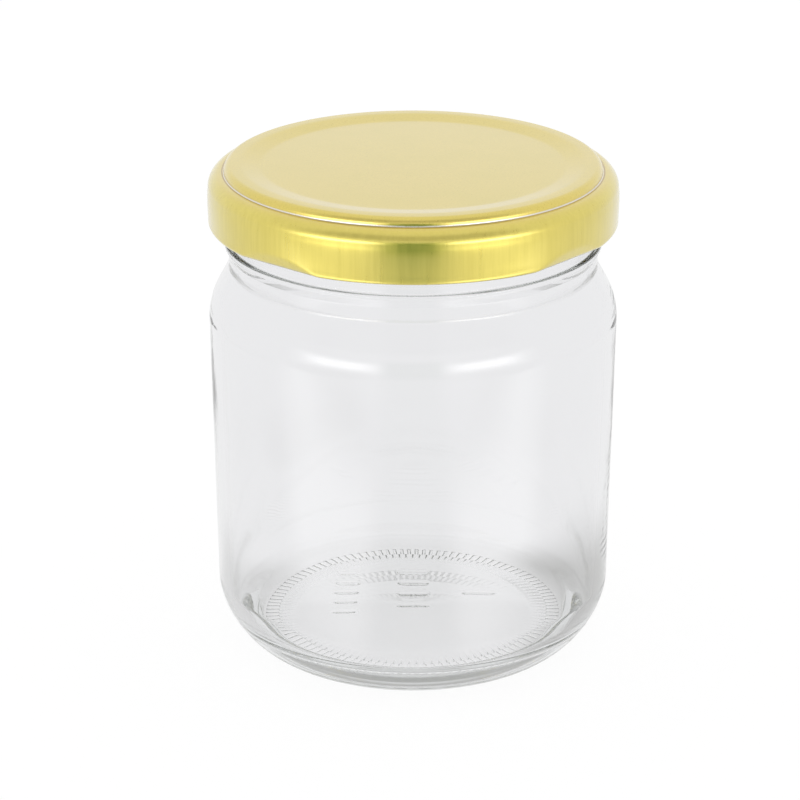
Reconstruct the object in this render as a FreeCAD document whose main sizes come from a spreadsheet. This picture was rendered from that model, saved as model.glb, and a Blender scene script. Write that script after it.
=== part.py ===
"""Glass jar with a gold twist-off lid, as a parametric FreeCAD document in millimetres.

Two pieces: the jar, one piece of clear pressed glass, and the lid, one pressing of
lacquered tinplate that sits on the jar's rim. Both are turned about the Z axis, so
each is a revolved outline with its roundings, plus what repeats round the axis.
The origin is the centre of the surface that the jar stands on, +Z is up and -Y is
the front.
"""
import FreeCAD, Part
import os
import Sketcher

os.makedirs("parts", exist_ok=True)
doc = FreeCAD.newDocument("glass_jar")

# Driving sizes: name, value in mm (or degrees, or a count), what it is
SIZES = [
    ("jar_height", 85.2, "standing plane to the rim"),
    ("body_diameter", 69.2, "widest place, at the shoulder"),
    ("foot_taper", 0.85, "how much the body wall leans in from there down to the foot"),
    ("wall", 2.1, "glass thickness of the body"),
    ("heel_radius", 13.0, "outside rounding between body and foot"),
    ("heel_slope", 25.6, "angle of the foot's flank above the standing plane"),
    ("bearing_width", 2.5, "ring that the jar stands on"),
    ("bearing_round", 1.6, "rounding at the outside of that ring"),
    ("recess_depth", 0.4, "shallow step up inside the bearing ring"),
    ("recess_flank", 3.0, "width of that step"),
    ("pushup_height", 1.6, "height of the hollow under the base, at the centre"),
    ("base_thickness", 4.0, "glass over the top of the hollow"),
    ("haunch_height", 3.9, "how far above the floor the wall starts to lean in"),
    ("haunch_reach", 2.2, "how far it leans in on the way down to the floor"),
    ("haunch_round", 8.5, "inside rounding where it starts to lean"),
    ("floor_round", 3.4, "inside rounding where it meets the floor"),
    ("shoulder_slope", 28.6, "angle of the shoulder cone from upright"),
    ("shoulder_radius", 10.3, "outside rounding of the shoulder"),
    ("neck_height", 2.5, "straight neck between the shoulder cone and the bead"),
    ("neck_step", 0.2, "how far the neck stands out beyond the mouth's wall"),
    ("neck_radius", 1.8, "hollow rounding between shoulder cone and neck"),
    ("bead_drop", 12.8, "rim down to the top ledge of the bead under the lid"),
    ("bead_depth", 2.1, "how far the bead's flank runs down from its ledge"),
    ("bead_reach", 0.9, "how far the bead stands out beyond the mouth's wall"),
    ("bead_round", 0.4, "rounding of the bead's edge"),
    ("bore_diameter", 56.8, "opening of the mouth"),
    ("mouth_wall", 2.5, "glass thickness of the mouth"),
    ("rim_round", 0.8, "rounding of both edges of the rim"),
    ("thread_reach", 1.9, "how far a thread ridge stands out beyond the mouth's wall"),
    ("thread_height", 1.4, "upright size of a thread ridge"),
    ("thread_span", 62, "angle that one thread ridge covers"),
    ("thread_clearance", 0.15, "gap between a thread ridge and the lug below it"),
    ("stipple_count", 112, "grip grooves round the bearing ring"),
    ("stipple_width", 0.65, "width of one grip groove"),
    ("stipple_depth", 0.1, "depth of one grip groove"),
    ("mark_proud", 0.22, "how far the mould marks stand out under the base"),
    ("mark_width", 0.8, "width of one mould mark"),
    ("sheet", 0.25, "tinplate thickness of the lid"),
    ("lid_height", 10.35, "lower edge to the top ring"),
    ("skirt_clearance", 1.45, "gap between the thread ridges and the skirt"),
    ("panel_clearance", 2.9, "how far the sunk panel's edge stays inside the mouth"),
    ("panel_depth", 0.5, "how far that panel is below the top ring"),
    ("panel_flank", 3.1, "width of the shallow slope round the panel"),
    ("panel_round", 5.0, "rounding at both ends of that slope"),
    ("ring_clearance", 0.45, "gap between the rim and the upright of the raised top"),
    ("ring_round", 1.2, "rounding at the edge of the raised top"),
    ("ring_lean", 0.1, "how far that upright leans out towards its foot, the crease"),
    ("crease_depth", 1.4, "how far the crease is below the top ring"),
    ("lid_shoulder", 2.5, "rounding between the ledge and the skirt"),
    ("curl_diameter", 1.5, "rolled lower edge"),
    ("lug_count", 4, "lugs of the lid, and thread ridges of the jar"),
    ("lug_span", 29, "angle that one lug covers"),
    ("lug_turn", 49.5, "direction of the first lug from +X"),
    ("lug_height", 2.4, "upright size of a lug"),
    ("lug_clearance", 1.2, "gap between a lug and the mouth's wall"),
]
sheet = doc.addObject("Spreadsheet::Sheet", "sizes")
for row, (alias, value, note) in enumerate(SIZES, start=1):
    sheet.set(f"A{row}", alias)
    sheet.set(f"B{row}", str(value))
    sheet.set(f"C{row}", note)
    sheet.setAlias(f"B{row}", alias)
doc.recompute()


def size(expression):
    """The value of an expression over the sheet, as a plain number."""
    return float(sheet.evalExpression(expression))


# Places that follow from the sizes, as expressions over the sheet: radii of the jar,
BORE = "(sizes.bore_diameter / 2)"
MOUTH = f"({BORE} + sizes.mouth_wall)"
NECK = f"({MOUTH} + sizes.neck_step)"
BEAD = f"({MOUTH} + sizes.bead_reach)"
THREAD = f"({MOUTH} + sizes.thread_reach)"
BODY = "(sizes.body_diameter / 2)"
FOOT = f"({BODY} - sizes.foot_taper)"
INNER_BODY = f"({BODY} - sizes.wall)"
# radii of the lid,
SKIRT = f"({THREAD} + sizes.skirt_clearance + sizes.sheet)"
PANEL = f"({BORE} - sizes.panel_clearance)"
RING = f"({MOUTH} + sizes.ring_clearance + sizes.sheet)"
LUG = f"({MOUTH} + sizes.lug_clearance)"
# heights, from the rim down to the shoulder,
BEAD_LEDGE = "(sizes.jar_height - sizes.bead_drop)"
BEAD_BROW = f"({BEAD_LEDGE} - sizes.bead_depth / 3)"
BEAD_FOOT = f"({BEAD_LEDGE} - sizes.bead_depth)"
NECK_FOOT = f"({BEAD_FOOT} - sizes.neck_height)"
SHOULDER_TOP = f"({NECK_FOOT} - abs({BODY} - {NECK}) / tan(sizes.shoulder_slope))"
INNER_SHOULDER = f"({SHOULDER_TOP} - sizes.wall * tan(sizes.shoulder_slope / 2))"
INNER_NECK = f"({INNER_SHOULDER} + abs({INNER_BODY} - {BORE}) / tan(sizes.shoulder_slope))"
# the foot, whose flank is as long as its two roundings need,
FLANK = ("(sizes.heel_radius * tan(45 - sizes.heel_slope / 2)"
         " + 1.1 * sizes.bearing_round * tan(sizes.heel_slope / 2))")
HEEL_CORNER = f"({FLANK} * sin(sizes.heel_slope))"
BEARING_OUTER = f"({FOOT} - {FLANK} * cos(sizes.heel_slope))"
BEARING_INNER = f"({BEARING_OUTER} - sizes.bearing_width)"
FLOOR = "(sizes.pushup_height + sizes.base_thickness)"
HAUNCH = f"({FLOOR} + sizes.haunch_height)"
HAUNCH_RADIUS = f"({FOOT} + sizes.foot_taper * {HAUNCH} / {SHOULDER_TOP} - sizes.wall)"
FLOOR_RADIUS = f"({HAUNCH_RADIUS} - sizes.haunch_reach)"
# and heights of the lid, which rests on the rim
LID_TOP = "(sizes.jar_height + sizes.sheet)"
LID_FOOT = f"({LID_TOP} - sizes.lid_height)"
LUG_TOP = f"({LID_FOOT} + sizes.lug_height)"
THREAD_FOOT = f"({LUG_TOP} + sizes.thread_clearance)"


def plane(body, role):
    """One of the body's own origin planes or axes."""
    return next(feature for feature in body.Origin.OriginFeatures if feature.Role == role)


def new_sketch(body, name, role, turn=None, lift=None):
    """An empty sketch on an origin plane, turned about Z or lifted along it."""
    sketch = body.newObject("Sketcher::SketchObject", name)
    sketch.AttachmentSupport = [(plane(body, role), "")]
    sketch.MapMode = "FlatFace"
    if turn:
        upright = FreeCAD.Vector(0, 1, 0) if role == "XZ_Plane" else FreeCAD.Vector(0, 0, 1)
        sketch.AttachmentOffset = FreeCAD.Placement(FreeCAD.Vector(), FreeCAD.Rotation(upright, 1))
        sketch.setExpression(".AttachmentOffset.Rotation.Angle", turn)
    if lift:
        sketch.setExpression(".AttachmentOffset.Base.z", lift)
    return sketch


def pin_point(sketch, line, end, place):
    """Holds one end of a line at a pair of expressions, measured from the origin."""
    for kind, axis, expression in (("DistanceX", -2, place[0]), ("DistanceY", -1, place[1])):
        value = size(expression)
        if abs(value) < 1e-9:
            sketch.addConstraint(Sketcher.Constraint("PointOnObject", line, end, axis))
            continue
        index = sketch.addConstraint(Sketcher.Constraint(kind, -1, 1, line, end, value))
        sketch.setExpression(f"Constraints[{index}]", expression)


def outline(sketch, places):
    """A closed outline of straight lines through pairs of expressions."""
    first = sketch.GeometryCount
    spots = [FreeCAD.Vector(size(across), size(up), 0) for across, up in places]
    for index, spot in enumerate(spots):
        sketch.addGeometry(Part.LineSegment(spot, spots[(index + 1) % len(spots)]), False)
    for index, place in enumerate(places):
        follower = first + (index + 1) % len(spots)
        sketch.addConstraint(Sketcher.Constraint("Coincident", first + index, 2, follower, 1))
        pin_point(sketch, first + index, 1, place)
    return sketch


def turned(body, kind, name, sketch, span=None):
    """A Revolution or Groove of a sketch about Z, full or over an angle."""
    feature = body.newObject(f"PartDesign::{kind}", name)
    feature.Profile = sketch
    feature.ReferenceAxis = (sketch, ["V_Axis"])
    feature.Angle = 360
    if span:
        feature.Midplane = True
        feature.setExpression("Angle", span)
    doc.recompute()
    return feature


def round_rings(body, name, radius, places):
    """Rounds the full circles that run through pairs of expressions: radius, height."""
    base = body.Tip
    rings = []
    for across, up in places:
        reach, level = size(across), size(up)
        for index, edge in enumerate(base.Shape.Edges, start=1):
            curve = edge.Curve
            if not isinstance(curve, Part.Circle) or not edge.isClosed():
                continue
            if abs(curve.Radius - reach) < 1e-4 and abs(curve.Center.z - level) < 1e-4:
                rings.append(f"Edge{index}")
    if len(rings) != len(places):
        raise ValueError(f"{name}: found {len(rings)} of {len(places)} rings")
    feature = body.newObject("PartDesign::Fillet", name)
    feature.Base = (base, rings)
    feature.setExpression("Radius", radius)
    doc.recompute()
    return feature


def round_axis(body, name, original, count):
    """Repeats a feature evenly round the Z axis."""
    pattern = body.newObject("PartDesign::PolarPattern", name)
    pattern.Originals = [original]
    pattern.Axis = (plane(body, "Z_Axis"), [""])
    pattern.Angle = 360
    pattern.setExpression("Occurrences", count)
    body.Tip = pattern
    doc.recompute()
    return pattern


def box_outline(low_across, high_across, low_up, high_up):
    return [(low_across, low_up), (high_across, low_up), (high_across, high_up), (low_across, high_up)]


def make_jar():
    """Clear glass: outside, foot ring, body, shoulder, neck, bead, mouth; then the hollow."""
    body = doc.addObject("PartDesign::Body", "jar")
    body.Label = "jar"
    heel = (FOOT, HEEL_CORNER)
    shoulder = (BODY, SHOULDER_TOP)
    neck = (NECK, NECK_FOOT)
    bead = (BEAD, BEAD_LEDGE)
    rim = (MOUTH, "sizes.jar_height")
    outside = outline(new_sketch(body, "outside", "XZ_Plane"), [
        ("0", "sizes.pushup_height"),
        (f"{BEARING_INNER} - sizes.recess_flank", "sizes.recess_depth"),
        (BEARING_INNER, "0"),
        (BEARING_OUTER, "0"),
        heel,
        shoulder,
        neck,
        (NECK, BEAD_FOOT),
        (BEAD, BEAD_BROW),
        bead,
        (MOUTH, BEAD_LEDGE),
        rim,
        ("0", "sizes.jar_height"),
    ])
    turned(body, "Revolution", "outside_turned", outside)
    round_rings(body, "heel_round", "sizes.heel_radius", [heel])
    round_rings(body, "shoulder_round", "sizes.shoulder_radius", [shoulder])
    round_rings(body, "neck_round", "sizes.neck_radius", [neck])
    round_rings(body, "foot_round", "sizes.bearing_round", [(BEARING_OUTER, "0")])
    round_rings(body, "bead_edge_round", "sizes.bead_round", [bead])

    mouth = (BORE, "sizes.jar_height")
    floor_corner = (FLOOR_RADIUS, FLOOR)
    haunch = (HAUNCH_RADIUS, HAUNCH)
    inner_shoulder = (INNER_BODY, INNER_SHOULDER)
    inner_neck = (BORE, INNER_NECK)
    inside = outline(new_sketch(body, "inside", "XZ_Plane"), [
        ("0", FLOOR), floor_corner, haunch, inner_shoulder, inner_neck, mouth,
        ("0", "sizes.jar_height"),
    ])
    turned(body, "Groove", "hollow", inside)
    round_rings(body, "haunch_rounding", "sizes.haunch_round", [haunch])
    round_rings(body, "floor_rounding", "sizes.floor_round", [floor_corner])
    round_rings(body, "inner_shoulder_round", "sizes.shoulder_radius - sizes.wall", [inner_shoulder])
    round_rings(body, "inner_neck_round", "sizes.neck_radius + sizes.wall", [inner_neck])
    round_rings(body, "rim_round_both", "sizes.rim_round", [rim, mouth])

    # thread ridges: level ramps that the lugs of the lid hook under
    ridge = outline(new_sketch(body, "thread_outline", "XZ_Plane", turn="sizes.lug_turn"), [
        (f"{MOUTH} - sizes.mouth_wall / 4", THREAD_FOOT),
        (THREAD, THREAD_FOOT),
        (THREAD, f"{THREAD_FOOT} + sizes.thread_height / 3"),
        (f"{MOUTH} - sizes.mouth_wall / 4", f"{THREAD_FOOT} + sizes.thread_height"),
    ])
    first_ridge = turned(body, "Revolution", "thread_ridge", ridge, "sizes.thread_span")
    round_axis(body, "thread_ridges", first_ridge, "sizes.lug_count")
    add_mould_marks(body)
    cut_stipple(body)
    return body


def add_mould_marks(body):
    """Plain raised bars under the base: three columns across the middle of the recess."""
    lift = "sizes.recess_depth - sizes.mark_proud"
    sketch = new_sketch(body, "mark_outlines", "XY_Plane", lift=lift)
    # column: centre across, bar length, and how far back from the centre each bar lies
    for middle, length, rows in ((-12, 3.4, (-2, 2, 6, 10, 14)), (0, 5, (0, 5, 10, 15)), (12, 5, (6,))):
        for back in rows:
            outline(sketch, box_outline(
                f"{middle - length / 2}", f"{middle + length / 2}",
                f"{back} - sizes.mark_width / 2", f"{back} + sizes.mark_width / 2"))
    marks = body.newObject("PartDesign::Pad", "mould_marks")
    marks.Profile = sketch
    marks.setExpression("Length", "sizes.pushup_height")
    doc.recompute()
    # trimmed from below, so that they stand out by the same amount everywhere in the hollow
    rise = f"({BEARING_INNER} - sizes.recess_flank)"
    trim = outline(new_sketch(body, "mark_trim_outline", "XZ_Plane"), [
        ("0", "0"),
        (rise, "0"),
        (rise, "sizes.recess_depth - sizes.mark_proud"),
        ("0", "sizes.pushup_height - sizes.mark_proud"),
    ])
    turned(body, "Groove", "marks_trimmed", trim)


def cut_stipple(body):
    """Grip grooves across the bearing ring, as fine spokes all the way round."""
    before = body.Tip.Shape.Volume
    sketch = outline(new_sketch(body, "stipple_outline", "XY_Plane"), box_outline(
        f"{BEARING_INNER} - sizes.stipple_width", f"{BEARING_OUTER} + sizes.stipple_width * 2",
        "-sizes.stipple_width / 2", "sizes.stipple_width / 2"))
    groove = body.newObject("PartDesign::Pocket", "stipple_groove")
    groove.Profile = sketch
    groove.Reversed = True
    groove.setExpression("Length", "sizes.stipple_depth")
    doc.recompute()
    if body.Tip.Shape.Volume >= before:
        raise ValueError("the grip groove cuts nothing")
    round_axis(body, "stipple", groove, "sizes.stipple_count")


def lid_skin(inset):
    """Outline of the lid's skin, from the centre out to the lower edge, moved in by inset."""
    top = f"{LID_TOP} - {inset}"
    sunk = f"{top} - sizes.panel_depth"
    low = f"{top} - sizes.crease_depth"
    return {
        "centre": ("0", sunk),
        "panel": (PANEL, sunk),
        "flank": (f"{PANEL} + sizes.panel_flank", top),
        "ring": (f"{RING} - {inset}", top),
        "crease": (f"{RING} + sizes.ring_lean - {inset}", low),
        "shoulder": (f"{SKIRT} - {inset}", low),
    }


def make_lid():
    """Tinplate: sunk panel, raised ring, crease, round shoulder, skirt, curl and lugs."""
    body = doc.addObject("PartDesign::Body", "lid")
    body.Label = "lid"
    curl_middle = f"{LID_FOOT} + sizes.curl_diameter / 2"
    top, under = lid_skin("0"), lid_skin("sizes.sheet")
    edge = [(top["shoulder"][0], curl_middle), (under["shoulder"][0], curl_middle)]
    skin = outline(new_sketch(body, "skin_outline", "XZ_Plane"),
                   list(top.values()) + edge + list(reversed(under.values())))
    turned(body, "Revolution", "skin", skin)
    for name, side, inset in (("under", under, "sizes.sheet"), ("top", top, "0")):
        round_rings(body, f"{name}_shoulder", f"sizes.lid_shoulder - {inset}", [side["shoulder"]])
        round_rings(body, f"{name}_ring", f"sizes.ring_round - {inset}", [side["ring"]])
        round_rings(body, f"{name}_panel", "sizes.panel_round", [side["panel"], side["flank"]])

    curl = new_sketch(body, "curl_outline", "XZ_Plane")
    radius = size("sizes.curl_diameter / 2")
    reach = f"{SKIRT} - sizes.curl_diameter / 2"
    middle = FreeCAD.Vector(size(reach), size(curl_middle), 0)
    curl.addGeometry(Part.Circle(middle, FreeCAD.Vector(0, 0, 1), radius), False)
    pin_point(curl, 0, 3, (reach, curl_middle))
    index = curl.addConstraint(Sketcher.Constraint("Radius", 0, radius))
    curl.setExpression(f"Constraints[{index}]", "sizes.curl_diameter / 2")
    turned(body, "Revolution", "curl", curl)

    lug = outline(new_sketch(body, "lug_outline", "XZ_Plane", turn="sizes.lug_turn"), box_outline(
        LUG, f"{SKIRT} - sizes.sheet / 2", LID_FOOT, LUG_TOP))
    first_lug = turned(body, "Revolution", "lug", lug, "sizes.lug_span")
    round_axis(body, "lugs", first_lug, "sizes.lug_count")

    # over each lug the outside of the skirt is pressed flat, deepest at the lower edge
    chord = f"{SKIRT} * cos(sizes.lug_span / 2)"
    beyond = f"{SKIRT} + sizes.sheet"
    press = outline(new_sketch(body, "press_outline", "XZ_Plane", turn="sizes.lug_turn"), [
        (chord, LID_FOOT), (beyond, LID_FOOT), (beyond, LUG_TOP), (SKIRT, LUG_TOP),
    ])
    before = body.Tip.Shape.Volume
    flat = body.newObject("PartDesign::Pocket", "pressed_flat")
    flat.Profile = press
    flat.Midplane = True
    flat.setExpression("Length", SKIRT)
    doc.recompute()
    if body.Tip.Shape.Volume >= before:
        raise ValueError("the pressed flat cuts nothing")
    round_axis(body, "pressed_flats", flat, "sizes.lug_count")
    return body


pieces = [make_jar(), make_lid()]
doc.recompute()

faults = [item.Name for item in doc.Objects if {"Invalid", "Error"} & set(item.State)]
if faults:
    raise ValueError(f"failed objects: {faults}")
for piece in pieces:
    shape = piece.Shape
    if shape.isNull() or not shape.isValid() or len(shape.Solids) != 1:
        raise ValueError(f"{piece.Label} is not one valid solid")
for piece in pieces:
    shape = piece.Shape
    shape.exportStep(f"parts/{piece.Label}.step")
    box = shape.optimalBoundingBox(False)
    print(f"{piece.Label}: {box.XLength:.2f} x {box.YLength:.2f} x {box.ZLength:.2f} mm,"
          f" z {box.ZMin:.2f} to {box.ZMax:.2f}, {shape.Volume / 1000:.2f} cm3")
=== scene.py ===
# %% [markdown]
# # A glass jar with a gold twist-off lid
#
# The object is two pieces: a jar of clear pressed glass, and a lid pressed from gold
# lacquered tinplate. Both are turned shapes, so each starts as one outline that is spun
# round the Z axis. Glass shows nothing but what it bends and mirrors, so the room round
# the jar matters as much as the glass. The last cells build that room.
#
# The first cell loads the frame: the measured model that every piece has to fit. Sizes in
# this lesson are millimetres, and MM turns them into the metres that Blender works in.

# %% Load the frame
import math

import bmesh
import bpy
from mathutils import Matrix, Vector, noise


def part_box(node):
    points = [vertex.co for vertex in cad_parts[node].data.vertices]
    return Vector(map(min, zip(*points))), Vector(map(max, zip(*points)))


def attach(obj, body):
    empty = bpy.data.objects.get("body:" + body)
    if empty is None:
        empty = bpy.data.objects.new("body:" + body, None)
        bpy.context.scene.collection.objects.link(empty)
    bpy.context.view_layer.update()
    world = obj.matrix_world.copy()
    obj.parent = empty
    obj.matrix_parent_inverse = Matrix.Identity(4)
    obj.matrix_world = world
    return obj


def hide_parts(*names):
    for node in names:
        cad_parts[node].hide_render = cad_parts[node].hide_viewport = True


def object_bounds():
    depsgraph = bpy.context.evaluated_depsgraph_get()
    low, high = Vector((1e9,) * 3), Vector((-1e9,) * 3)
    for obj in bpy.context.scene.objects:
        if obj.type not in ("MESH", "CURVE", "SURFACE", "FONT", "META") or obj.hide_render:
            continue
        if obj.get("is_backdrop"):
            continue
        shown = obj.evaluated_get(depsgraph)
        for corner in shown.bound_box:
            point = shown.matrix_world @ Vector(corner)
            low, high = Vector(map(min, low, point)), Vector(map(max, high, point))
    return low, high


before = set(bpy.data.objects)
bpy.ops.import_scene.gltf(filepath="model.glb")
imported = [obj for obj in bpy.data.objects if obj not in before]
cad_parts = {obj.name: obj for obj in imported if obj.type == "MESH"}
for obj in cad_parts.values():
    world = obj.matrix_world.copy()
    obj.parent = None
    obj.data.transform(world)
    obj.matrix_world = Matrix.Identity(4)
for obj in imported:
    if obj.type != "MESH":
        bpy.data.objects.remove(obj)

MM = 0.001
DEGREE = math.pi / 180
cad_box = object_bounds()
jar_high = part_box("jar")[1]
lid_low, lid_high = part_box("lid")
print("jar height in mm:", round(jar_high[2] / MM, 2))
print("lid from", round(lid_low[2] / MM, 2), "to", round(lid_high[2] / MM, 2))

# %% [markdown]
# ## Turning a shape on a lathe
#
# A turned piece could start from a cylinder that is scaled loop by loop, but then every
# rounding is a guess. It's clearer to draw half of its section as a chain of points, round
# each corner to a known radius, and spin the chain once round. A place in the chain has a
# radius, a height, and the rounding of that corner with its number of segments. The
# rounding starts at a distance of radius times the tangent of half the turn, which is
# what the bevel needs.

# %% Draw an outline
def round_corner(bm, corner, radius, segments):
    """Rounds one corner of a chain to a radius in mm."""
    one, other = [edge.other_vert(corner).co - corner.co for edge in corner.link_edges]
    turn = math.pi - one.angle(other)
    bmesh.ops.bevel(
        bm, geom=[corner], affect="VERTICES", offset_type="OFFSET",
        offset=radius * MM * math.tan(turn / 2), segments=segments, profile=0.5, material=-1)


def draw_outline(bm, places):
    """Joins places of (radius, height, rounding, segments) into a chain in the XZ plane."""
    corners = [bm.verts.new((radius * MM, 0, height * MM)) for radius, height, _, _ in places]
    for first, second in zip(corners, corners[1:]):
        bm.edges.new((first, second))
    for corner, (_, _, rounding, segments) in zip(corners, places):
        if rounding:
            round_corner(bm, corner, rounding, segments)


print("an outline is a list of (radius, height, rounding, segments)")

# %% Spin an outline
SAME_PLACE = 0.0001


def spin_round(bm, points, edges, steps):
    """Spins points and edges of a chain once round Z."""
    bmesh.ops.spin(
        bm, geom=points + edges, cent=(0, 0, 0), axis=(0, 0, 1), angle=math.tau, steps=steps,
        use_merge=True)


def close_shape(bm):
    """Closes the seams and the poles, and turns the faces outward."""
    bmesh.ops.remove_doubles(bm, verts=bm.verts, dist=SAME_PLACE * MM)
    bmesh.ops.recalc_face_normals(bm, faces=bm.faces)


def finished(bm, name, node):
    """Makes the mesh a smooth piece that stands for a node of the frame."""
    loose = [edge for edge in bm.edges if not edge.is_manifold]
    mesh = bpy.data.meshes.new(name)
    bm.to_mesh(mesh)
    bm.free()
    mesh.polygons.foreach_set("use_smooth", [True] * len(mesh.polygons))
    piece = bpy.data.objects.new(name, mesh)
    bpy.context.collection.objects.link(piece)
    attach(piece, "root")
    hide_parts(node)
    print(name, "faces:", len(mesh.polygons), "open edges:", len(loose))
    return piece


print("points nearer than", SAME_PLACE, "mm are merged")

# %% [markdown]
# ## The jar's sizes
#
# The body leans in a little from the shoulder to the foot, so that the jar leaves its
# mould. Above it come a cone, a short neck, a bead under the lid, and the mouth. The rim
# and the width are read from the frame, and the rest are the sizes of such a jar. The
# wall keeps its thickness round the shoulder, which is where the tangent of half the
# slope comes from.

# %% Sizes of body, neck and mouth
RIM = jar_high[2] / MM
CORNER_CUT = 0.04  # the rounding of the shoulder cuts this much off its corner
BODY = jar_high[0] / MM + CORNER_CUT
TAPER = 0.85
FOOT = BODY - TAPER
WALL = 2.1
MOUTH = 30.9
BORE = 28.4
NECK = 31.1
BEAD = 31.8
BEAD_DEPTH = 2.1
NECK_HEIGHT = 2.5
BEAD_DROP = 12.8
LEDGE = RIM - BEAD_DROP
NECK_FOOT = LEDGE - BEAD_DEPTH - NECK_HEIGHT
SLOPE = 28.6 * DEGREE
SHOULDER = NECK_FOOT - (BODY - NECK) / math.tan(SLOPE)
INNER_SHOULDER = SHOULDER - WALL * math.tan(SLOPE / 2)
INNER_NECK = INNER_SHOULDER + (BODY - WALL - BORE) / math.tan(SLOPE)
print("shoulder at", round(SHOULDER, 2), "neck from", round(NECK_FOOT, 2))

# %% [markdown]
# ## The base
#
# The jar stands on a narrow ring. Inside the ring the base is hollow, so that it doesn't
# rock on a point. The glass is thickest here. The inside wall leans in just above the
# floor, and its two roundings bend the light that comes up through the base, so they are
# sized with as much care as the outside.

# %% Sizes of the base
HEEL_ROUND = 13.0
HEEL_SLOPE = 25.6 * DEGREE
RING_ROUND = 1.6
HEEL_FLANK = (HEEL_ROUND * math.tan(math.pi / 4 - HEEL_SLOPE / 2)
              + 1.1 * RING_ROUND * math.tan(HEEL_SLOPE / 2))
RING_OUT = FOOT - HEEL_FLANK * math.cos(HEEL_SLOPE)
RING_IN = RING_OUT - 2.5
HOLLOW = RING_IN - 3.0
HOLLOW_STEP = 0.4
HOLLOW_TOP = 1.6
FLOOR = HOLLOW_TOP + 4.0
HAUNCH = FLOOR + 3.9
HAUNCH_RADIUS = FOOT + TAPER * HAUNCH / SHOULDER - WALL
FLOOR_RADIUS = HAUNCH_RADIUS - 2.2
print("standing ring from", round(RING_IN, 2), "to", round(RING_OUT, 2))

# %% [markdown]
# ## The outline of the glass
#
# The outline runs from the middle of the underside out over the foot ring, up the wall,
# shoulder, neck and bead to the rim, and back down the inside to the floor. Long stretches
# are divided, because glass is never quite even, and a face can only bend at its points.
# The underside is divided most finely: it takes the marks.

# %% Outline of the glass
GLASS = [
    # radius, height, rounding, segments
    (0, HOLLOW_TOP, 0, 0),
    (HOLLOW, HOLLOW_STEP, 6.0, 6),
    (RING_IN, 0, 0.5, 3),
    (RING_OUT, 0, RING_ROUND, 5),
    (FOOT, HEEL_FLANK * math.sin(HEEL_SLOPE), HEEL_ROUND, 16),
    (BODY, SHOULDER, 10.3, 12),
    (NECK, NECK_FOOT, 1.8, 6),
    (NECK, LEDGE - BEAD_DEPTH, 1.0, 4),
    (BEAD, LEDGE - BEAD_DEPTH / 3, 0.6, 4),
    (BEAD, LEDGE, 0.35, 4),
    (MOUTH, LEDGE, 0.3, 3),
    (MOUTH, RIM, 0.8, 6),
    (BORE, RIM, 0.8, 6),
    (BORE, INNER_NECK, 3.9, 8),
    (BODY - WALL, INNER_SHOULDER, 8.2, 10),
    (HAUNCH_RADIUS, HAUNCH, 8.5, 10),
    (FLOOR_RADIUS, FLOOR, 3.4, 10),
    (0, FLOOR, 0, 0),
]
glass = bmesh.new()
draw_outline(glass, GLASS)
print("outline points:", len(glass.verts))

# %% Divide the long stretches
LONG = 8
VERY_LONG = 30
UNDERSIDE = 2  # everything below this height is the underside
long_edges = [edge for edge in glass.edges if edge.calc_length() > LONG * MM]
under = [edge for edge in long_edges if max(vert.co.z for vert in edge.verts) < UNDERSIDE * MM]
walls = [edge for edge in long_edges if edge.calc_length() > VERY_LONG * MM]
others = [edge for edge in long_edges if edge not in under and edge not in walls]
for edges, cuts in ((under, 42), (walls, 12), (others, 4)):
    bmesh.ops.subdivide_edges(glass, edges=edges, cuts=cuts)
print("outline points:", len(glass.verts))

# %% [markdown]
# ## Spin the glass
#
# One turn round Z makes the solid of glass. A screw modifier would do the same and stay
# live, but the grooves and marks come next and need real faces. The number of steps is
# four for each grip groove, so that the grooves fall exactly on columns of faces.

# %% Spin the glass
GRIP_GROOVES = 112
COLUMNS_EACH = 4
STEPS = GRIP_GROOVES * COLUMNS_EACH
spin_round(glass, glass.verts[:], glass.edges[:], STEPS)
close_shape(glass)
print("glass vertices:", len(glass.verts))

# %% [markdown]
# ## Foot ring
#
# The ring that the jar stands on is knurled with fine grooves, so that hot glass doesn't
# stick to the belt. The spin has four columns of faces for each groove, so two of the four
# are sunk together. A separate ring of small boxes would leave seams in the glass.

# %% Sink the grip grooves
GROOVE_EDGE = 0.1
GROOVE_DEPTH = 0.1
FACING_DOWN = -0.99
ON_TABLE = 0.05  # faces below this height touch the table


def column(face):
    """Which column of the spin a face is in."""
    middle = face.calc_center_median()
    return int(math.atan2(middle.y, middle.x) % math.tau / math.tau * STEPS)


standing = [
    face for face in glass.faces
    if face.normal.z < FACING_DOWN and face.calc_center_median().z < ON_TABLE * MM
]
grooves = [face for face in standing if column(face) % COLUMNS_EACH in (1, 2)]
bmesh.ops.inset_region(glass, faces=grooves, thickness=GROOVE_EDGE * MM, depth=-GROOVE_DEPTH * MM,
                       use_even_offset=True)
print("faces of the ring:", len(standing), "sunk:", len(grooves))

# %% [markdown]
# ## Uneven glass
#
# The outside is smooth because it was pressed against a polished mould. The inside was
# blown, so it wanders by a tenth of a millimetre, slowly up and down and a little faster
# round, and that makes the view through a real jar swim. A displace modifier with a noise
# texture would move every face, also the rim and the foot. Moving the points by a small
# function is just as short, and lets the effect fade out toward the base and the neck.

# %% Uneven glass
INSIDE_SWELL = 0.13
INSIDE_RIPPLE = 0.015
OUTSIDE_SWELL = 0.02
SWELL_SCALE = (55, 28)  # across and upright
RIPPLE_SCALE = (160, 90, 7)  # the last number starts the noise at another place
INSIDE_MARGIN = 0.2
MIDDLE = 20  # points nearer to the axis than this stay as they are
FADE_BASE = (9, 17)
FADE_NECK = (NECK_FOOT + 4, NECK_FOOT - 4)
LEAN = 0.014  # the wall leans in by this much for each millimetre down


def ramp(value, start, end):
    """Zero at the start, one at the end, and straight between them."""
    return min(max((value - start) / (end - start), 0), 1)


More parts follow.
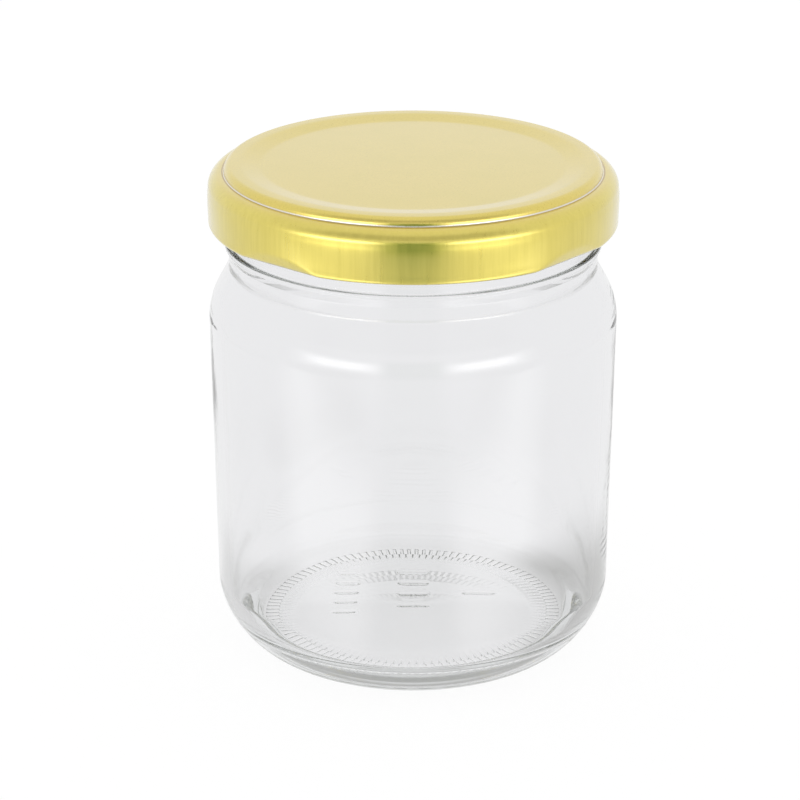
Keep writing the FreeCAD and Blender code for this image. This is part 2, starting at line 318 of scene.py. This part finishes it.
def noise_at(place, across, upright, shift=0):
    """Soft noise with its own scale across and upright."""
    return noise.noise(Vector((place.x * across, place.y * across, place.z * upright + shift)))


def uneven(place):
    """How far a point of the glass is drawn inward, in mm."""
    height = place.z / MM
    reach = math.hypot(place.x, place.y) / MM
    fade = ramp(height, *FADE_BASE) * ramp(height, *FADE_NECK)
    swell = noise_at(place, *SWELL_SCALE)
    inner_wall = BODY - WALL + INSIDE_MARGIN - LEAN * (SHOULDER - height)
    if height > FLOOR + 0.01 and reach < inner_wall:
        return (INSIDE_SWELL * swell + INSIDE_RIPPLE * noise_at(place, *RIPPLE_SCALE)) * fade
    return OUTSIDE_SWELL * (1 + swell) * fade


moved = [vert for vert in glass.verts if vert.co.xy.length > MIDDLE * MM]
for vert in moved:
    outward = Vector((vert.co.x, vert.co.y, 0)).normalized()
    vert.co -= outward * uneven(vert.co) * MM
print("points made uneven:", len(moved))

# %% [markdown]
# ## Marks under the base
#
# Glass moulds carry small marks in the middle of the base. Here they are plain soft bars
# in three columns. They could be separate boxes joined on, but pressed glass has no sharp
# edges, so it's better to press the underside itself down where a bar is, with a soft rim.

# %% Press the marks
# place of a column, length of its bars, and where its bars are towards the back
MARKS = [(-12, 3.4, (-2, 2, 6, 10, 14)), (0, 5, (0, 5, 10, 15)), (12, 5, (6,))]
MARK_PROUD = 0.22
MARK_SPREAD = 0.95
BAR_END = 0.4


def mark(across, back):
    """How far a mark stands out at a place under the base, in mm."""
    most = 0
    for middle, length, rows in MARKS:
        for row in rows:
            beyond = max(abs(across - middle) - length / 2 + BAR_END, 0)
            most = max(most, 1 - math.hypot(beyond, back - row) / MARK_SPREAD)
    return MARK_PROUD * most * most * (3 - 2 * most)


raised = 0
for vert in glass.verts:
    if vert.co.z < UNDERSIDE * MM and vert.co.xy.length < (HOLLOW - 0.5) * MM:
        proud = mark(vert.co.x / MM, vert.co.y / MM)
        vert.co.z -= proud * MM
        raised += proud > 0
print("points raised:", raised)
jar = finished(glass, "jar_glass", "jar")

# %% [markdown]
# ## The lid
#
# The lid is one disc of thin sheet, pressed to shape. The middle panel is sunk and very
# slightly domed, a raised ring sits over the rim of the glass, and the crease outside it
# leads into the round shoulder. The skirt ends in a rolled edge. The outside is gold, and
# the inside has a white enamel, so the two sides are two outlines: one runs over the top
# and round the roll, and the other goes back under the sheet. A solidify modifier would
# thicken one outline, but then the roll would run into the skirt.

# %% Sizes of the lid
SHEET = 0.25
TOP = lid_high[2] / MM
LOW = lid_low[2] / MM
SKIRT = lid_high[0] / MM
PANEL = 25.5
PANEL_LEVEL = TOP - 0.5
CROWN = 28.8
RING = 31.6
RING_EDGE = 1.2
CREASE = 31.7
CREASE_LEVEL = TOP - 1.4
SKIRT_ROUND = 2.5
ROLL = 0.75
print("skirt from", round(LOW, 2), "to", round(CREASE_LEVEL, 2))

# %% Outlines of the lid
OVER = [
    # radius, height, rounding, segments
    (0, PANEL_LEVEL, 0, 0),
    (PANEL, PANEL_LEVEL, 6.0, 5),
    (CROWN, TOP, 6.0, 5),
    (RING, TOP, RING_EDGE, 12),
    (CREASE, CREASE_LEVEL, 0.12, 3),
    (SKIRT, CREASE_LEVEL, SKIRT_ROUND, 18),
    (SKIRT, LOW + ROLL, 0, 0),
]
ROLL_END = math.tau - math.acos(1 - SHEET / ROLL)
ROLL_SEGMENTS = 20
for segment in range(1, ROLL_SEGMENTS + 1):
    turn = ROLL_END * segment / ROLL_SEGMENTS
    OVER.append((SKIRT - ROLL + ROLL * math.cos(turn), LOW + ROLL - ROLL * math.sin(turn), 0, 0))
UNDER = [
    OVER[-1],
    (SKIRT - SHEET, CREASE_LEVEL - SHEET, SKIRT_ROUND - SHEET, 10),
    (CREASE - SHEET, CREASE_LEVEL - SHEET, 0.4, 3),
    (RING - SHEET, TOP - SHEET, RING_EDGE - SHEET, 8),
    (CROWN, TOP - SHEET, 6.0, 3),
    (PANEL, PANEL_LEVEL - SHEET, 6.0, 3),
    (0, PANEL_LEVEL - SHEET, 0, 0),
]
print("places over and under:", len(OVER), len(UNDER))

# %% Spin the lid
LID_STEPS = 480
UPRIGHT = 2.5  # stretches longer than this are divided


def spin_side(bm, places, material_number):
    """Spins one side of the sheet, and gives its faces their material number."""
    draw_outline(bm, places)
    drawn = [edge for edge in bm.edges if edge.is_wire]
    tall = [edge for edge in drawn if edge.calc_length() > UPRIGHT * MM]
    bmesh.ops.subdivide_edges(bm, edges=tall, cuts=12)
    drawn = [edge for edge in bm.edges if edge.is_wire]
    points = list(dict.fromkeys(vert for edge in drawn for vert in edge.verts))
    before = set(bm.faces)
    spin_round(bm, points, drawn, LID_STEPS)
    for face in set(bm.faces) - before:
        face.material_index = material_number


skin = bmesh.new()
spin_side(skin, OVER, 0)
spin_side(skin, UNDER, 1)
close_shape(skin)
print("lid vertices:", len(skin.verts))

# %% [markdown]
# ## Lugs
#
# At four places the lower edge is pressed flat, so that the roll inside it can hook under
# the thread of the glass. Each flat is deepest at the lower edge and fades out upward. A
# point moves inward by as much as it stands outside the flat, with a soft start. The
# skirt is also a little barrel shaped, widest in its middle. A boolean with four boxes
# would cut the sheet open, but moving points keeps its thickness.

# %% Shape of a lug
LUG_SPAN = 29 * DEGREE
LUG_TURN = 49.5 * DEGREE
LUG_HEIGHT = 2.4
LUG_SOFT = 0.05
LUG_CHORD = SKIRT * math.cos(LUG_SPAN / 2)
QUARTER = math.pi / 2


def lug_press(turn, height):
    """How far the skirt is pressed in at a direction and a height, in mm."""
    off = (turn - LUG_TURN + QUARTER / 2) % QUARTER - QUARTER / 2
    flat = LUG_CHORD + (SKIRT - LUG_CHORD) * ramp(height, LOW, LOW + LUG_HEIGHT)
    outside = SKIRT - flat / math.cos(off)
    return (outside + math.hypot(outside, LUG_SOFT)) / 2


print("a lug is pressed in by", round(lug_press(LUG_TURN, LOW), 2), "mm")

# %% Shape the sheet
DOME = 0.2
BELLY = 79.3  # height where the skirt is widest
BELLY_ABOVE = (0.12, 2.25)  # how far it is drawn in, and over which height
BELLY_BELOW = (0.076, 2.7)
SKIRT_START = 32.5


def barrel(height):
    """How far the skirt is drawn in at a height, in mm."""
    if height > BELLY:
        drawn, over = BELLY_ABOVE
        return drawn * ramp(height, BELLY, BELLY + over) ** 3
    drawn, over = BELLY_BELOW
    return drawn * ramp(height, BELLY, BELLY - over) ** 2


for vert in skin.verts:
    reach = math.hypot(vert.co.x, vert.co.y) / MM
    height = vert.co.z / MM
    if reach < PANEL:
        vert.co.z += DOME * MM * (1 - (reach / PANEL) ** 2)
    if reach > SKIRT_START:
        turn = math.atan2(vert.co.y, vert.co.x)
        inward = barrel(height) * ramp(reach, SKIRT_START, SKIRT_START + 1.2) + lug_press(turn, height)
        vert.co.x -= inward * MM * math.cos(turn)
        vert.co.y -= inward * MM * math.sin(turn)
lid = finished(skin, "lid_shell", "lid")

# %% [markdown]
# ## Short words for nodes
#
# Building shaders in a script takes many lines for each node. A few helpers keep the
# recipes readable: noise, a soft step, a band with soft ends, a sum or product, and a
# blend of two colours. The last one gives the distance from the axis and the height,
# because both pieces are turned and their bands of colour follow circles.

# %% Helpers that start and end a material
def new_material(name):
    """A material without nodes, and its node tree."""
    material = bpy.data.materials.new(name)
    material.use_nodes = True
    material.node_tree.nodes.clear()
    return material, material.node_tree


def add(tree, kind, **values):
    """Adds a node and sets its inputs by name."""
    node = tree.nodes.new(kind)
    for name, value in values.items():
        node.inputs[name.replace("_", " ")].default_value = value
    return node


def mix_shaders(tree, amount, one, other):
    """One shader turned into the other by an amount."""
    node = tree.nodes.new("ShaderNodeMixShader")
    for socket, value in zip(node.inputs, (amount, one, other)):
        tree.links.new(value, socket)
    return node.outputs["Shader"]


def finish_material(piece, material, shader):
    """Ends a material's node tree with a shader, and gives the material to a piece."""
    tree = material.node_tree
    out = tree.nodes.new("ShaderNodeOutputMaterial")
    tree.links.new(shader, out.inputs["Surface"])
    piece.data.materials.append(material)
    print(material.name, "nodes:", len(tree.nodes))
    return out


print("pieces to finish:", jar.name, lid.name)

# %% Helpers for numbers
def maths(tree, kind, *values):
    """A Math node on sockets and numbers."""
    node = tree.nodes.new("ShaderNodeMath")
    node.operation = kind
    for socket, value in zip(node.inputs, values):
        if isinstance(value, (int, float)):
            socket.default_value = value
        else:
            tree.links.new(value, socket)
    return node.outputs[0]


def step(tree, value, start, end, low=0.0, high=1.0):
    """A smooth step of a value between start and end."""
    node = tree.nodes.new("ShaderNodeMapRange")
    node.interpolation_type = "SMOOTHSTEP"
    for name, number in (("From Min", start), ("From Max", end), ("To Min", low), ("To Max", high)):
        node.inputs[name].default_value = number
    tree.links.new(value, node.inputs["Value"])
    return node.outputs["Result"]


def band(tree, value, start, full, fade, end):
    """One from full to fade, and zero before start and after end."""
    return maths(tree, "MULTIPLY", step(tree, value, start, full), step(tree, value, fade, end, 1.0, 0.0))


def degrees(*angles):
    """Angles in degrees turned into radians."""
    return [angle * DEGREE for angle in angles]


print("a quarter turn is", round(degrees(90)[0], 4), "radians")

# %% Helpers for colours and places
def blend(tree, amount, one, other, kind="MIX"):
    """One colour turned into the other by an amount; each is a colour or a socket."""
    node = tree.nodes.new("ShaderNodeMix")
    node.data_type = "RGBA"
    node.blend_type = kind
    for name, value in (("Factor", amount), ("A", one), ("B", other)):
        socket = node.inputs[name]
        if isinstance(value, (int, float, tuple)):
            socket.default_value = value
        else:
            tree.links.new(value, socket)
    return node.outputs["Result"]


def speckle(tree, place, scale, detail, roughness):
    """Noise at a scale, between zero and one."""
    node = add(tree, "ShaderNodeTexNoise", Scale=scale, Detail=detail, Roughness=roughness)
    tree.links.new(place, node.inputs["Vector"])
    return node.outputs["Fac"]


def cylinder_places(tree):
    """Object coordinates, how far right, distance from the axis, and height, all in metres."""
    place = tree.nodes.new("ShaderNodeTexCoord").outputs["Object"]
    parts = tree.nodes.new("ShaderNodeSeparateXYZ")
    tree.links.new(place, parts.inputs[0])
    squares = [maths(tree, "MULTIPLY", parts.outputs[name], parts.outputs[name]) for name in "XY"]
    reach = maths(tree, "SQRT", maths(tree, "ADD", *squares))
    return place, parts.outputs["X"], reach, parts.outputs["Z"]


print("materials follow the distance from the axis and the height")

# %% [markdown]
# ## Clear glass
#
# Plain soda-lime glass bends light by an index of 1.52. The tint sits in the volume, so the
# thick base is a little deeper in colour than the wall, as in a real jar. A fine, very
# shallow bump stands for the skin of pressed glass and softens the reflections. Light that
# only casts a shadow goes straight through, or the table under the jar would be black.

# %% Clear glass
clear, tree = new_material("clear_glass")
surface = add(tree, "ShaderNodeBsdfPrincipled", Base_Color=(1, 1, 1, 1), Roughness=0.0, IOR=1.52,
              Transmission_Weight=1.0)
place = cylinder_places(tree)[0]
skin_bump = add(tree, "ShaderNodeBump", Strength=0.25, Distance=0.00003)
tree.links.new(speckle(tree, place, 160.0, 1.0, 0.4), skin_bump.inputs["Height"])
tree.links.new(skin_bump.outputs["Normal"], surface.inputs["Normal"])
passing = add(tree, "ShaderNodeBsdfTransparent", Color=(1, 1, 1, 1))
path = tree.nodes.new("ShaderNodeLightPath")
shader = mix_shaders(tree, path.outputs["Is Shadow Ray"], surface.outputs["BSDF"], passing.outputs["BSDF"])
out = finish_material(jar, clear, shader)
body_tint = add(tree, "ShaderNodeVolumeAbsorption", Color=(0.76, 0.79, 0.77, 1), Density=8.0)
tree.links.new(body_tint.outputs["Volume"], out.inputs["Volume"])

# %% [markdown]
# ## Gold lacquer
#
# The gold is a clear yellow lacquer baked over shiny tinplate. A metal with a clear coat
# gives both shines. Fine grain in the lacquer breaks up the shine on the panel. Drawing the
# skirt down leaves fine upright streaks, so the same kind of noise is stretched upright
# there. Larger patches, where the coat is thicker, are a little more olive.

# %% Grain and streaks of the gold
gold, tree = new_material("gold_lacquer")
place, _, reach, height = cylinder_places(tree)
on_skirt = step(tree, reach, 32.5 * MM, 33.8 * MM)
stretch = add(tree, "ShaderNodeMapping", Scale=(1.0, 1.0, 0.05))
tree.links.new(place, stretch.inputs["Vector"])
streaks = speckle(tree, stretch.outputs["Vector"], 1300.0, 3.0, 0.65)
grain = speckle(tree, place, 3000.0, 3.0, 0.7)
texture = maths(tree, "ADD", maths(tree, "MULTIPLY", streaks, on_skirt),
                maths(tree, "MULTIPLY", grain, maths(tree, "SUBTRACT", 1.0, on_skirt)))
patches = step(tree, speckle(tree, place, 130.0, 2.0, 0.5), 0.40, 0.70)
print("nodes for the texture:", len(tree.nodes))

# %% Colours of the gold
PANEL_GOLD = ((0.72, 0.575, 0.115, 1), (0.79, 0.635, 0.14, 1))
SKIRT_GOLD = ((0.715, 0.60, 0.115, 1), (0.77, 0.65, 0.135, 1))
OLIVE = (0.69, 0.57, 0.10, 1)
light_grain = step(tree, texture, 0.30, 0.70)
colour = blend(tree, on_skirt, blend(tree, light_grain, *PANEL_GOLD), blend(tree, light_grain, *SKIRT_GOLD))
colour = blend(tree, maths(tree, "MULTIPLY", patches, 0.25), colour, OLIVE)
print("nodes with the colours:", len(tree.nodes))

# %% [markdown]
# ## Lines at the crease
#
# At the foot of the raised ring a thin silver line like bare tin runs round the lid, with
# a darker brown line just outside it. Both are bands of a known distance from the axis,
# so they could be painted on, but a band of a radius is sharper and never slips.

# %% Lines at the crease
SILVER = (0.78, 0.75, 0.70, 1)
DARK_BROWN = (0.30, 0.15, 0.03, 1)


def beside_crease(*offsets):
    """A band whose start, full, fade and end are mm from the crease."""
    return band(tree, reach, *[(CREASE + offset) * MM for offset in offsets])


low_down = step(tree, height, (TOP - 1.3) * MM, (TOP - 1.1) * MM, 1.0, 0.0)
light_line = maths(tree, "MULTIPLY", beside_crease(-0.22, -0.12, 0.04, 0.12), low_down)
light_line = maths(tree, "MULTIPLY", light_line, step(tree, texture, 0.25, 0.50, 0.55, 1.0))
dark_line = maths(tree, "MULTIPLY", beside_crease(0.10, 0.18, 0.30, 0.42), 0.75)
colour = blend(tree, dark_line, colour, DARK_BROWN)
colour = blend(tree, light_line, colour, SILVER)
print("nodes with the wear:", len(tree.nodes))

# %% Metal under its clear coat
metal = add(tree, "ShaderNodeBsdfPrincipled", Metallic=1.0, Coat_Weight=1.0, Coat_Roughness=0.12,
            Coat_IOR=1.55)
tree.links.new(colour, metal.inputs["Base Color"])
tree.links.new(step(tree, texture, 0.25, 0.75, 0.27, 0.32), metal.inputs["Roughness"])
relief = add(tree, "ShaderNodeBump", Strength=0.12, Distance=0.00002)
tree.links.new(texture, relief.inputs["Height"])
tree.links.new(relief.outputs["Normal"], metal.inputs["Normal"])
finish_material(lid, gold, metal.outputs["BSDF"])

# %% [markdown]
# ## White enamel
#
# The inside of a food lid is coated white. It hardly shows, but light that comes up
# through the glass reaches it, and with bare metal the neck would look dark. It isn't
# quite even, so two close whites are mixed by soft noise. The gold went to the lid first,
# so this is the second material, which the faces of the underside ask for.

# %% White enamel
enamel, tree = new_material("white_enamel")
place = cylinder_places(tree)[0]
paint = add(tree, "ShaderNodeBsdfPrincipled", Roughness=0.4)
white = blend(tree, speckle(tree, place, 300.0, 2.0, 0.5), (0.80, 0.80, 0.77, 1), (0.86, 0.86, 0.84, 1))
tree.links.new(white, paint.inputs["Base Color"])
finish_material(lid, enamel, paint.outputs["BSDF"])

# %% [markdown]
# ## The room
#
# Metal and glass look like the room they stand in, so the room is made with care. It is
# white all round, with a white floor. Two large soft lamps stand at the front, left and
# right. The person between them makes the middle of every reflection darker and a little
# green. Lamps could be objects, but the reflections need soft edges at exact directions,
# so the world itself is painted by direction: how far round from the front, and how high.
# Seen through the glass, the room is a little greyer than when it is seen directly.

# %% Tones and directions
# The dark green of the person, also used as painted shade on the mirrored floor.
PERSON_AND_SHADE = (0.07, 0.20, 0.08, 1)
ROOM = (0.95, 0.95, 0.95, 1)
DULL = (0.2, 0.2, 0.2, 1)
THROUGH = (0.815, 0.815, 0.83, 1)
# Painted shade: the darker tone seen through the glass beside the foot and low in the room.
PAINTED_SHADE = (0.40, 0.40, 0.395, 1)


def directions(tree, where):
    """How far round from the front (either way), how high, both in radians, and forward."""
    parts = tree.nodes.new("ShaderNodeSeparateXYZ")
    tree.links.new(where, parts.inputs[0])
    forward = maths(tree, "MULTIPLY", parts.outputs["Y"], -1)
    around = maths(tree, "ABSOLUTE", maths(tree, "ARCTAN2", parts.outputs["X"], forward))
    return around, maths(tree, "ARCSINE", parts.outputs["Z"]), forward


print("tones of the room:", len((PERSON_AND_SHADE, ROOM, DULL, THROUGH, PAINTED_SHADE)))

# %% [markdown]
# ## Floor
#
# A plain round white table. Seen directly it is white paper with the soft shadow of the
# jar. What the glass and metal mirror is the room's tone with painted light: a painted pool
# of lamp light in front of the lamps, and painted shade before the person. What is seen
# through the glass is a little greyer, with painted shade close beside the foot, more on the
# right, where a real table lies in the shade of the thick heel. One white plane would be
# simpler, but then the heel would disappear in white.

# %% Floor disc
ground = bmesh.new()
bmesh.ops.create_circle(ground, cap_ends=True, segments=96, radius=0.6)
mesh = bpy.data.meshes.new("floor")
ground.to_mesh(mesh)
ground.free()
floor = bpy.data.objects.new("floor", mesh)
bpy.context.collection.objects.link(floor)
floor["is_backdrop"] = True
print("floor corners:", len(mesh.vertices))

# %% The floor as it is mirrored
paper, tree = new_material("pale_paper")
place, right, reach, _ = cylinder_places(tree)
around, _, forward = directions(tree, place)
# Painted shade before the person: the floor that glass and metal mirror turns dark green in front of the
# jar.
before_person = step(tree, around, *degrees(10, 22), 1.0, 0.0)
near = step(tree, forward, 0.03, 0.07, 0.0, 0.34)
far = step(tree, forward, 0.26, 0.36, 0.0, 0.60)
shade = maths(tree, "MULTIPLY", before_person, maths(tree, "ADD", near, far))
# Painted pool of lamp light: the mirrored floor is brighter close in front of each lamp.
before_lamps = band(tree, around, *degrees(12, 28, 52, 80))
lit = maths(tree, "MULTIPLY", before_lamps, step(tree, forward, 0.08, 0.14, 1.30, 0.06))
lit = maths(tree, "MULTIPLY", lit, step(tree, forward, 0.03, 0.06))
mirrored_tone = blend(tree, shade, blend(tree, 1.0, ROOM, lit, "ADD"), PERSON_AND_SHADE)
print("nodes for the mirrored floor:", len(tree.nodes))

# %% The floor as it is seen through the glass
away = maths(tree, "MAXIMUM", reach, MM)
sideways = maths(tree, "DIVIDE", right, away)
side = maths(tree, "ADD", step(tree, sideways, 0.50, 0.85, 0.0, 0.95),
             step(tree, sideways, -0.95, -0.70, 0.50, 0.0))
# Painted shade of the heel on the table, seen through the glass: darker close beside the foot, more on the
# right.
heel_shade = maths(tree, "MULTIPLY", side, band(tree, away, 0.022, 0.030, 0.050, 0.085))
through_tone = blend(tree, maths(tree, "MINIMUM", heel_shade, 1.0), THROUGH, PAINTED_SHADE)
print("nodes with the floor seen through:", len(tree.nodes))

# %% White paper
PAPER_LOOK = (1.03, 1.03, 1.03, 1)
GLOW_SHARE = 0.9  # the rest is plain paper, which keeps the jar's shadow
path = tree.nodes.new("ShaderNodeLightPath")
paint = add(tree, "ShaderNodeBsdfDiffuse", Color=(0.87, 0.87, 0.87, 1))
mirrored = add(tree, "ShaderNodeEmission", Strength=1.0)
tree.links.new(mirrored_tone, mirrored.inputs["Color"])
seen = add(tree, "ShaderNodeEmission", Strength=1.0)
tree.links.new(blend(tree, path.outputs["Is Transmission Ray"], PAPER_LOOK, through_tone),
               seen.inputs["Color"])
is_mirrored = maths(tree, "MULTIPLY", path.outputs["Is Glossy Ray"], GLOW_SHARE)
is_seen = maths(tree, "MAXIMUM", path.outputs["Is Camera Ray"], path.outputs["Is Transmission Ray"])
is_seen = maths(tree, "MULTIPLY", is_seen, GLOW_SHARE)
shader = mix_shaders(tree, is_mirrored, paint.outputs[0], mirrored.outputs[0])
finish_material(floor, paper, mix_shaders(tree, is_seen, shader, seen.outputs[0]))

# %% [markdown]
# ## World
#
# The same idea by direction. Each patch has a range round from the front and a range in
# height, with soft ends. Two lamps have a bright core, the person stands between them, and
# a duller band hangs above. Painted shade darkens the room where it is seen through the
# glass, low behind the jar and below the table, where it stands for the table shaded under
# the foot. That gives the base its dark front line, which no white room would give.

# %% Patches of the room
world = bpy.data.worlds.new("studio")
bpy.context.scene.world = world
world.use_nodes = True
tree = world.node_tree
tree.nodes.clear()
around, above, _ = directions(tree, tree.nodes.new("ShaderNodeTexCoord").outputs["Generated"])


def patch(side, high):
    """A soft-edged patch of the room; each range is start, full, fade and end in degrees."""
    return maths(tree, "MULTIPLY", band(tree, around, *degrees(*side)), band(tree, above, *degrees(*high)))


lamps = patch((10, 26, 56, 76), (-8, 0, 8, 15))
cores = patch((14, 34, 48, 66), (-3, 3, 6, 11))
person = patch((-2, -1, 12, 22), (-90, -80, 9, 18))
dusk = patch((-2, -1, 50, 80), (22, 32, 56, 70))
low_behind = maths(tree, "MULTIPLY", step(tree, around, *degrees(100, 135)),
                   band(tree, above, *degrees(14, 24, 42, 54)))
print("nodes for the patches:", len(tree.nodes))

# %% Light of the room
glow = maths(tree, "ADD", maths(tree, "MULTIPLY", lamps, 1.3), maths(tree, "MULTIPLY", cores, 3.0))
room = blend(tree, person, ROOM, PERSON_AND_SHADE)
room = blend(tree, maths(tree, "MULTIPLY", dusk, 0.45), room, DULL)
mirrored = blend(tree, 1.0, room, glow, "ADD")
lighting = blend(tree, 1.0, (0.9, 0.9, 0.9, 1), glow, "ADD")
# Painted shade in the room seen through the glass: low behind the jar, and below the table where it stands
# for the shaded table under the foot.
behind = maths(tree, "MAXIMUM", low_behind, step(tree, above, *degrees(-35, -22), 1.0, 0.0))
path = tree.nodes.new("ShaderNodeLightPath")
light = blend(tree, path.outputs["Is Glossy Ray"], lighting, mirrored)
light = blend(tree, path.outputs["Is Transmission Ray"], light, blend(tree, behind, THROUGH, PAINTED_SHADE))
light = blend(tree, path.outputs["Is Camera Ray"], light, (1.0, 1.0, 1.0, 1))
backdrop = add(tree, "ShaderNodeBackground", Strength=1.0)
out = tree.nodes.new("ShaderNodeOutputWorld")
tree.links.new(light, backdrop.inputs["Color"])
tree.links.new(backdrop.outputs[0], out.inputs["Surface"])
print("nodes in the world:", len(tree.nodes))

# %% [markdown]
# ## Camera
#
# A long lens from about half a metre, well above the lid, looking down. A short lens would
# swell the lid against the base. Light goes in and out of the two glass skins many times,
# so the paths may be long, or the thick base would turn black.

# %% Camera
LENS = 141.66
BACK = 504.8
UP = 237.2
LOOK_DOWN = 21.08
LOOK_LEFT = 0.252
camera_data = bpy.data.cameras.new("camera")
camera_data.lens = LENS
camera = bpy.data.objects.new("camera", camera_data)
camera.location = (0, -BACK * MM, UP * MM)
camera.rotation_euler = degrees(90 - LOOK_DOWN, 0, LOOK_LEFT)
bpy.context.collection.objects.link(camera)
bpy.context.scene.camera = camera
bpy.context.scene.view_settings.view_transform = "Standard"
print("camera at", [round(number / MM, 1) for number in camera.location])

# %% Long light paths
cycles = bpy.context.scene.cycles
cycles.max_bounces = 48
cycles.glossy_bounces = 40
cycles.transmission_bounces = 40
print("longest light path:", cycles.max_bounces)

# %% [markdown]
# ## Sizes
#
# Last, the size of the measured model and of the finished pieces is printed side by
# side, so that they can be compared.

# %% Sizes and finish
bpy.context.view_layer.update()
for name, (low, high) in (("model", cad_box), ("pieces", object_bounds())):
    print(name, "in mm:", [round((end - start) / MM, 2) for start, end in zip(low, high)])
